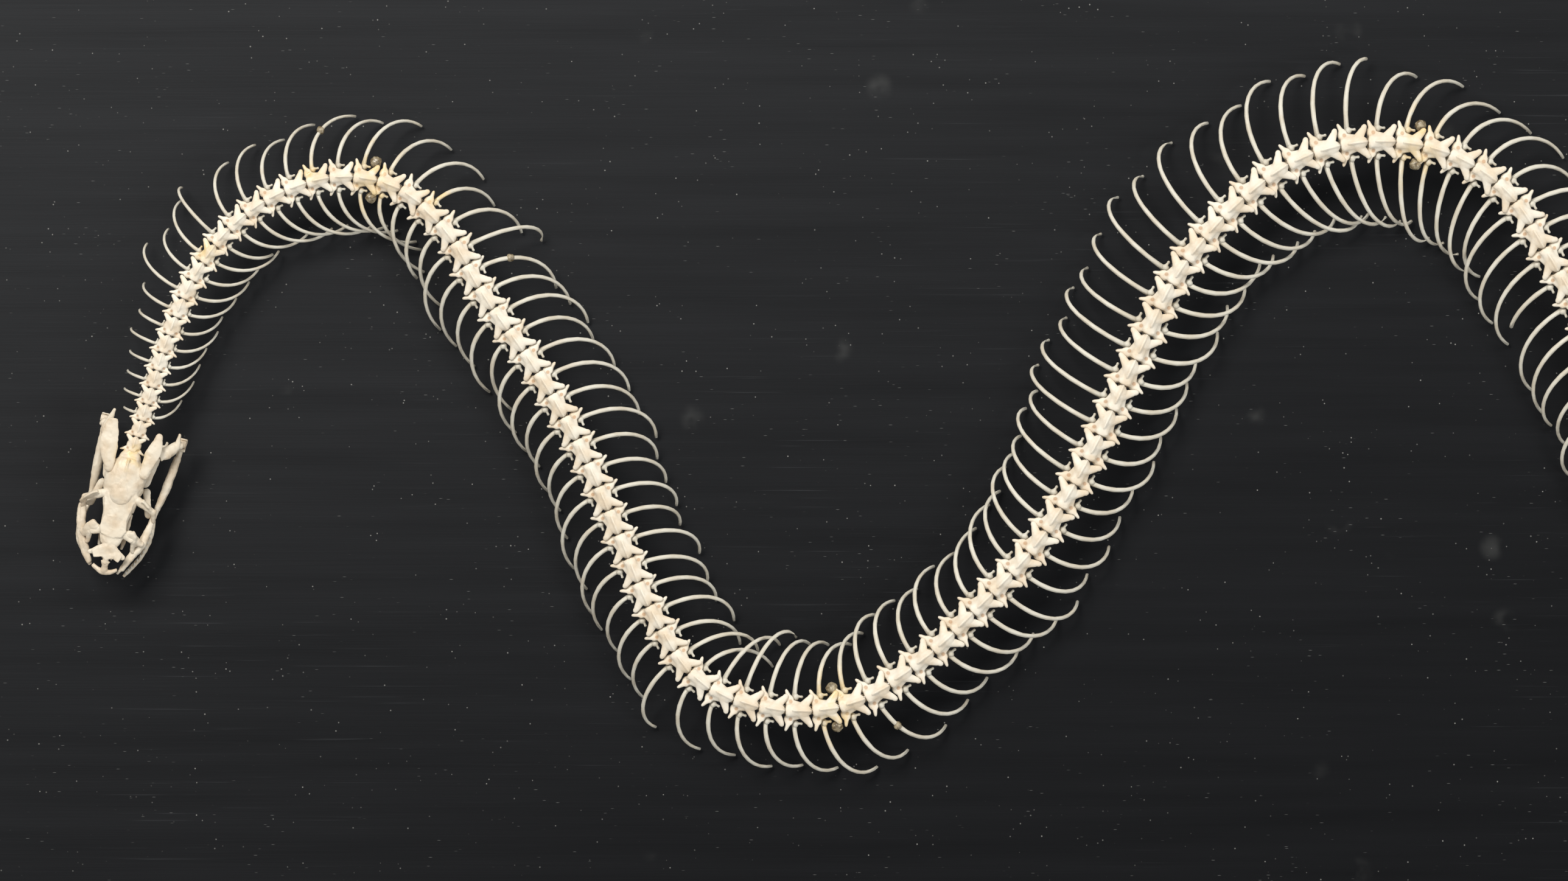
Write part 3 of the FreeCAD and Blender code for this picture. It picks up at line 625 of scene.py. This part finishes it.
def build_spine(seats):
    """A copy of one of the two master vertebrae on each seat, one piece for each CAD node."""
    slender = master_vertebra("slender_vertebra", slender_waist)
    stout = master_vertebra("stout_vertebra", stout_waist)
    for node in VERTEBRA_NODES:
        copies = []
        for index, seat in enumerate(seats[node]):
            in_neck = node in STOUT_NODES or (node == FIRST_TRUNK_NODE and index < stout_in_trunk)
            master = stout if in_neck else slender
            places = corners(master.data)
            low, high = places.min(axis=0), places.max(axis=0)
            copy = copied(master)
            copy.data.transform(seat.matrix(low, high))
            copies.append(copy)
        piece = joined(copies, f"{node}_bone")
        paint_attribute(piece.data, "stain", stain_at(corners(piece.data)))
        finish_piece(piece, "vertebra_bone", BODY, [node])
    bpy.data.objects.remove(slender)
    bpy.data.objects.remove(stout)


# ---- The ribs ----

def master_knob():
    """A rib's swollen head and the knob that points to the tail behind it, in millimetres."""
    head = ellipsoid((0, -0.1, 0), (0.78, 0.95, 0.75), segments=14, rings=8)
    stalk = taper((0.3, 0.1, 0.05), (1.35, 0, 0.15), 0.4, 0.27)
    tip = ellipsoid((1.45, 0, 0.15), (0.38, 0.4, 0.36), segments=12, rings=7)
    knob = joined([stalk, tip, head], "rib_knob")
    modified(knob, "REMESH", mode="VOXEL", voxel_size=knob_voxel)
    modified(knob, "SMOOTH", factor=0.6, iterations=2)
    modified(knob, "DECIMATE", ratio=knob_faces / len(knob.data.polygons))
    return smooth_shaded(knob)


def far_from(seat, solid):
    """How far each corner of a solid is from the middle of a vertebra's seat."""
    return np.linalg.norm(solid - np.array(seat.middle), axis=1)


def rib_heads(solids, seats, knob):
    """A knob on each rib's head, turned along the spine beside it."""
    heads = []
    for solid in solids:
        centre = Vector(solid.mean(axis=0))
        nearest = sorted(seats, key=lambda seat: (seat.middle - centre).length)[:seats_tried]
        seat = min(nearest, key=lambda seat: far_from(seat, solid).min())
        near = far_from(seat, solid)
        root = Vector(solid[near < near.min() + rib_root_depth].mean(axis=0))
        size = float(seat.high[1] - seat.low[1]) / (vertebra_width * MM)
        outward = seat.across * math.copysign(1, seat.across.dot(root - seat.middle))
        place = root + outward * (rib_knob_out * size)
        copy = copied(knob)
        copy.data.transform(Matrix.Translation(place) @ seat.turn.to_4x4()
                            @ Matrix.Scale(size * MM, 4))
        heads.append(copy)
    return heads


def build_ribs(seats):
    """Each rib node's own shafts, lightened and shaded, with a knob on every rib's head."""
    knob = master_knob()
    every_seat = [seat for row in seats.values() for seat in row]
    for node in RIB_NODES:
        ribs = merged_copy(node, f"{node}_shafts")
        places = corners(ribs.data)
        solids = [places[group] for group in islands(ribs.data)]
        modified(ribs, "DECIMATE", ratio=rib_kept_share)
        smooth_shaded(ribs)
        piece = joined(rib_heads(solids, every_seat, knob) + [ribs], f"{node}_bone")
        stain = stain_at(corners(piece.data))
        paint_attribute(piece.data, "stain", stain)
        paint_attribute(piece.data, "painted_shade", np.zeros(len(stain)))
        finish_piece(piece, "rib_bone", BODY, [node])
    bpy.data.objects.remove(knob)


# ---- The skull ----

# What fills out each bone, in millimetres: +X to the snout, +Y to the snake's left, +Z up, from the
# occiput. Each is a taper: its start, its end, its radius at both, and how flat it is
FILLINGS = {
    "braincase": [((0.8, 0, -0.4), (5.0, 0, -0.3), 2.6, 4.9, 0.48),
                  ((5.0, 0, -0.3), (9.6, 0, -0.2), 4.9, 3.9, 0.48),
                  ((8.0, -1.5, 0.8), (9.9, -4.4, 0.7), 1.3, 0.8, 0.7),
                  ((8.0, 1.5, 0.8), (9.9, 4.4, 0.7), 1.3, 0.8, 0.7),
                  ((3.6, 0, 1.5), (9.0, 0, 1.3), 0.8, 2.7, 0.45)],
    "frontal_bones": [((9.6, 0, 0.5), (14.6, 0, 0.6), 4.2, 3.0, 0.34),
                      ((14.2, 0, 0.6), (19.0, 0, 0.4), 3.0, 2.7, 0.36),
                      ((17.2, -1.5, 0.5), (18.7, -4.6, 0.4), 1.2, 0.75, 0.7),
                      ((17.2, 1.5, 0.5), (18.7, 4.6, 0.4), 1.2, 0.75, 0.7)],
    "nasal_bones": [((19.0, 0, 0.6), (25.0, 0, 0.4), 1.1, 0.7, 0.7),
                    ((21.6, -0.4, 0.6), (23.4, -3.9, 0.4), 1.3, 0.6, 0.5),
                    ((21.6, 0.4, 0.6), (23.2, 3.7, 0.4), 1.3, 0.6, 0.5)],
    "premaxilla": [((24.6, 0, 0.3), (26.9, 0, -0.7), 0.65, 0.75, 0.9)],
    "prefrontal": [((17.6, 4.0, 0.5), (19.2, 6.9, -1.0), 1.0, 0.75, 0.7),
                   ((18.9, 5.0, 0.1), (21.4, 5.4, -1.4), 0.7, 0.45, 0.8)],
    "postorbital": [((9.6, 3.9, 0.7), (11.4, 8.1, -0.3), 1.0, 0.75, 0.7),
                    ((11.4, 8.0, -0.3), (13.6, 8.4, -1.7), 0.75, 0.45, 0.9)],
    "maxilla": [((13.4, 8.2, -2.1), (19.4, 7.1, -1.9), 0.7, 0.95, 0.8),
                ((19.4, 7.1, -1.9), (25.8, 3.9, -2.1), 0.95, 0.6, 0.8)],
    "supratemporal": [((3.4, 4.2, 1.3), (-1.5, 4.9, 1.2), 1.2, 1.7, 0.5),
                      ((-1.5, 4.9, 1.2), (-5.9, 5.6, 1.1), 1.7, 0.8, 0.5)],
    "pterygoid": [((-3.6, 6.6, -3.2), (5.0, 4.2, -3.2), 0.6, 1.5, 0.35)],
    "ectopterygoid": [((7.4, 5.3, -3.0), (12.4, 6.8, -2.8), 0.9, 0.8, 0.5)],
    "quadrate_left": [((-2.4, 7.6, -0.7), (-4.9, 10.1, -2.4), 1.5, 1.1, 0.6),
                      ((-4.4, 9.8, -2.0), (-7.3, 9.8, -1.4), 0.8, 0.35, 0.9)],
    "quadrate_right": [((-4.4, -6.3, -0.6), (-6.0, -7.6, -2.3), 1.6, 1.1, 0.6),
                       ((-5.8, -7.0, -1.4), (-9.5, -6.1, -0.6), 1.0, 0.4, 0.9)],
    "mandible_left": [((-1.6, 10.2, -5.0), (5.0, 9.4, -5.0), 0.9, 1.05, 1.0),
                      ((5.0, 9.4, -5.0), (12.4, 8.0, -5.7), 1.05, 0.55, 1.0)],
    "mandible_right": [((-3.4, -7.9, -5.2), (4.2, -7.4, -5.0), 0.8, 1.15, 1.0),
                       ((4.2, -7.4, -5.0), (12.4, -7.3, -5.7), 1.15, 0.55, 1.0)],
}


def occiput_place():
    """The middle of the occiput, where the spine starts."""
    board_low, board_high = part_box("display_board")
    return Vector((board_low[0] + occiput_in, occiput_across, board_high[2] + canal_above_board))


def body_named(node):
    """The body that a node belongs to."""
    bodies = frame["record"]["behaviour"]["bodies"]
    return next(name for name, nodes in bodies.items() if node in nodes)


def skull_matrix():
    """From the skull's own frame in millimetres, which stands at the occiput along the jaw's hinge."""
    joints = frame["record"]["behaviour"]["joints"]
    left = Vector(next(joint for joint in joints if joint["name"] == "jaw_left_hinge")["axis"])
    snout = left.cross(Vector((0, 0, 1)))
    turn = Matrix((snout, left, Vector((0, 0, 1)))).transposed().to_4x4()
    return Matrix.Translation(OCCIPUT) @ turn @ Matrix.Scale(MM, 4)


def fillings_of(node):
    """A bone's fillings, the right side's as a mirror image of the left's."""
    bone = node.removesuffix("_left").removesuffix("_right")
    if node in FILLINGS or not node.endswith("_right"):
        return FILLINGS.get(node, FILLINGS.get(bone, []))
    return [((a[0], -a[1], a[2]), (b[0], -b[1], b[2]), *sizes)
            for a, b, *sizes in FILLINGS.get(bone, [])]


def filling_lumps(node, place):
    """A bone's fillings in place: each a taper with a rounded start and end."""
    lumps = []
    for start, end, first, last, flat in fillings_of(node):
        lumps.append(taper(start, end, first, last, flat))
        lumps += [ellipsoid(tip, (radius, radius, radius * flat))
                  for tip, radius in ((start, first), (end, last))]
    for lump in lumps:
        lump.data.transform(place)
    return lumps


def build_skull():
    """Each skull bone filled out, with its edges rounded off and its surface grown uneven."""
    clouds = bpy.data.textures.new("uneven_bone", "CLOUDS")
    clouds.noise_scale = skull_lumps
    place = skull_matrix()
    for node in SKULL_NODES:
        piece = joined(filling_lumps(node, place) + [merged_copy(node, f"{node}_bone")],
                       f"{node}_bone")
        modified(piece, "REMESH", mode="VOXEL", voxel_size=skull_voxel)
        modified(piece, "SMOOTH", factor=0.5, iterations=5)
        modified(piece, "DISPLACE", texture=clouds, strength=skull_unevenness, mid_level=0.5,
                 texture_coords="LOCAL")
        modified(piece, "DECIMATE", ratio=skull_kept_share)
        smooth_shaded(piece)
        places = corners(piece.data)
        low, high = places[:, 2].min(), places[:, 2].max()
        depth = (high - places[:, 2]) / (high - low)
        # Painted shade: each skull bone darker towards its bottom
        paint_attribute(piece.data, "painted_shade", np.clip(0.8 * depth - 0.35, 0, 0.45))
        paint_attribute(piece.data, "stain", stain_at(places))
        finish_piece(piece, "skull_bone", body_named(node), [node])


# ---- Glue, board, wire, posts and teeth ----

def build_glue():
    """Beads of glue that have sagged and wrinkled as they dried."""
    piece = merged_copy("glue_dabs", "glue_beads")
    clouds = bpy.data.textures.new("wrinkled_glue", "CLOUDS")
    clouds.noise_scale = glue_wrinkles
    modified(piece, "REMESH", mode="VOXEL", voxel_size=glue_voxel)
    modified(piece, "DISPLACE", texture=clouds, strength=glue_sag, mid_level=0.85,
             texture_coords="LOCAL")
    modified(piece, "DECIMATE", ratio=glue_kept_share)
    smooth_shaded(piece)
    finish_piece(piece, "clear_glue", BODY, ["glue_dabs"])


def finish_cad_nodes():
    """Better materials on the CAD nodes whose own shape is right."""
    for node, slot in ([("display_board", "black_paint"), ("support_posts", "post_steel"),
                        ("spine_wire", "wire_steel")]
                       + [(node, "tooth_enamel") for node in TEETH_NODES]):
        mesh = frame["nodes"][node].data
        mesh.materials.clear()
        mesh.materials.append(FINISHES[slot])


# ---- Floor, light and camera ----

def add_stage():
    """A plain pale floor."""
    floor_finish = Finish("pale_floor")
    speckle = floor_finish.noise(30, 3)
    floor_finish.feed("Base Color", floor_finish.blend(speckle, (0.70, 0.69, 0.67),
                                                       (0.74, 0.73, 0.71)))
    floor_finish.feed("Roughness", 0.7 + 0.1 * speckle)
    deselect()
    bpy.ops.mesh.primitive_plane_add(size=floor_size, location=(0, 0, -floor_drop))
    floor = settle()
    floor.name = "floor"
    floor.data.materials.append(floor_finish.material)


def add_light(name, place, size, watts, colour):
    """A soft panel that faces the middle of the board."""
    lamp = bpy.data.lights.new(name, "AREA")
    lamp.shape = "RECTANGLE"
    lamp.size, lamp.size_y = size
    lamp.energy = watts
    lamp.color = colour
    holder = bpy.data.objects.new(name, lamp)
    bpy.context.scene.collection.objects.link(holder)
    holder.location = place
    holder.rotation_euler = (-Vector(place)).to_track_quat("-Z", "Y").to_euler()


def add_camera():
    """Straight down over the head's end of the board."""
    lens = bpy.data.cameras.new("camera")
    lens.sensor_width = 36
    lens.lens = lens.sensor_width * camera_above_canal / shown_width
    lens.clip_end = 20
    camera = bpy.data.objects.new("camera", lens)
    bpy.context.scene.collection.objects.link(camera)
    camera.location = OCCIPUT + camera_past_occiput + Vector((0, 0, camera_above_canal))
    bpy.context.scene.camera = camera


def add_lights():
    """A dim even sky and the soft panels."""
    world = bpy.data.worlds.new("studio")
    world.use_nodes = True
    sky = world.node_tree.nodes["Background"].inputs
    sky["Color"].default_value = (0.95, 0.97, 1.0, 1)
    sky["Strength"].default_value = world_strength
    bpy.context.scene.world = world
    for name, (place, size, watts, colour) in LIGHTS.items():
        add_light(name, place, size, watts, colour)
    bpy.context.scene.view_settings.view_transform = "Standard"


def glue_spots():
    """Where glue has soaked into the bone: each bead, and a few places that were only brushed."""
    occiput = np.array(OCCIPUT)
    middles = [solid.mean(axis=0) for solid in solids_of("glue_dabs")]
    spots = [(middle, stain_reach) for middle in middles
             if middle[2] > occiput[2] - bead_below_canal]
    for x, y, reach in BRUSHED_SPOTS:
        spots.append((occiput + np.array((x, y, 0)) * MM, reach * MM))
    return spots


OCCIPUT = occiput_place()
GLUE_SPOTS = glue_spots()
spine = spine_seats()
build_spine(spine)
build_ribs(spine)
build_skull()
build_glue()
finish_cad_nodes()
add_stage()
add_lights()
add_camera()
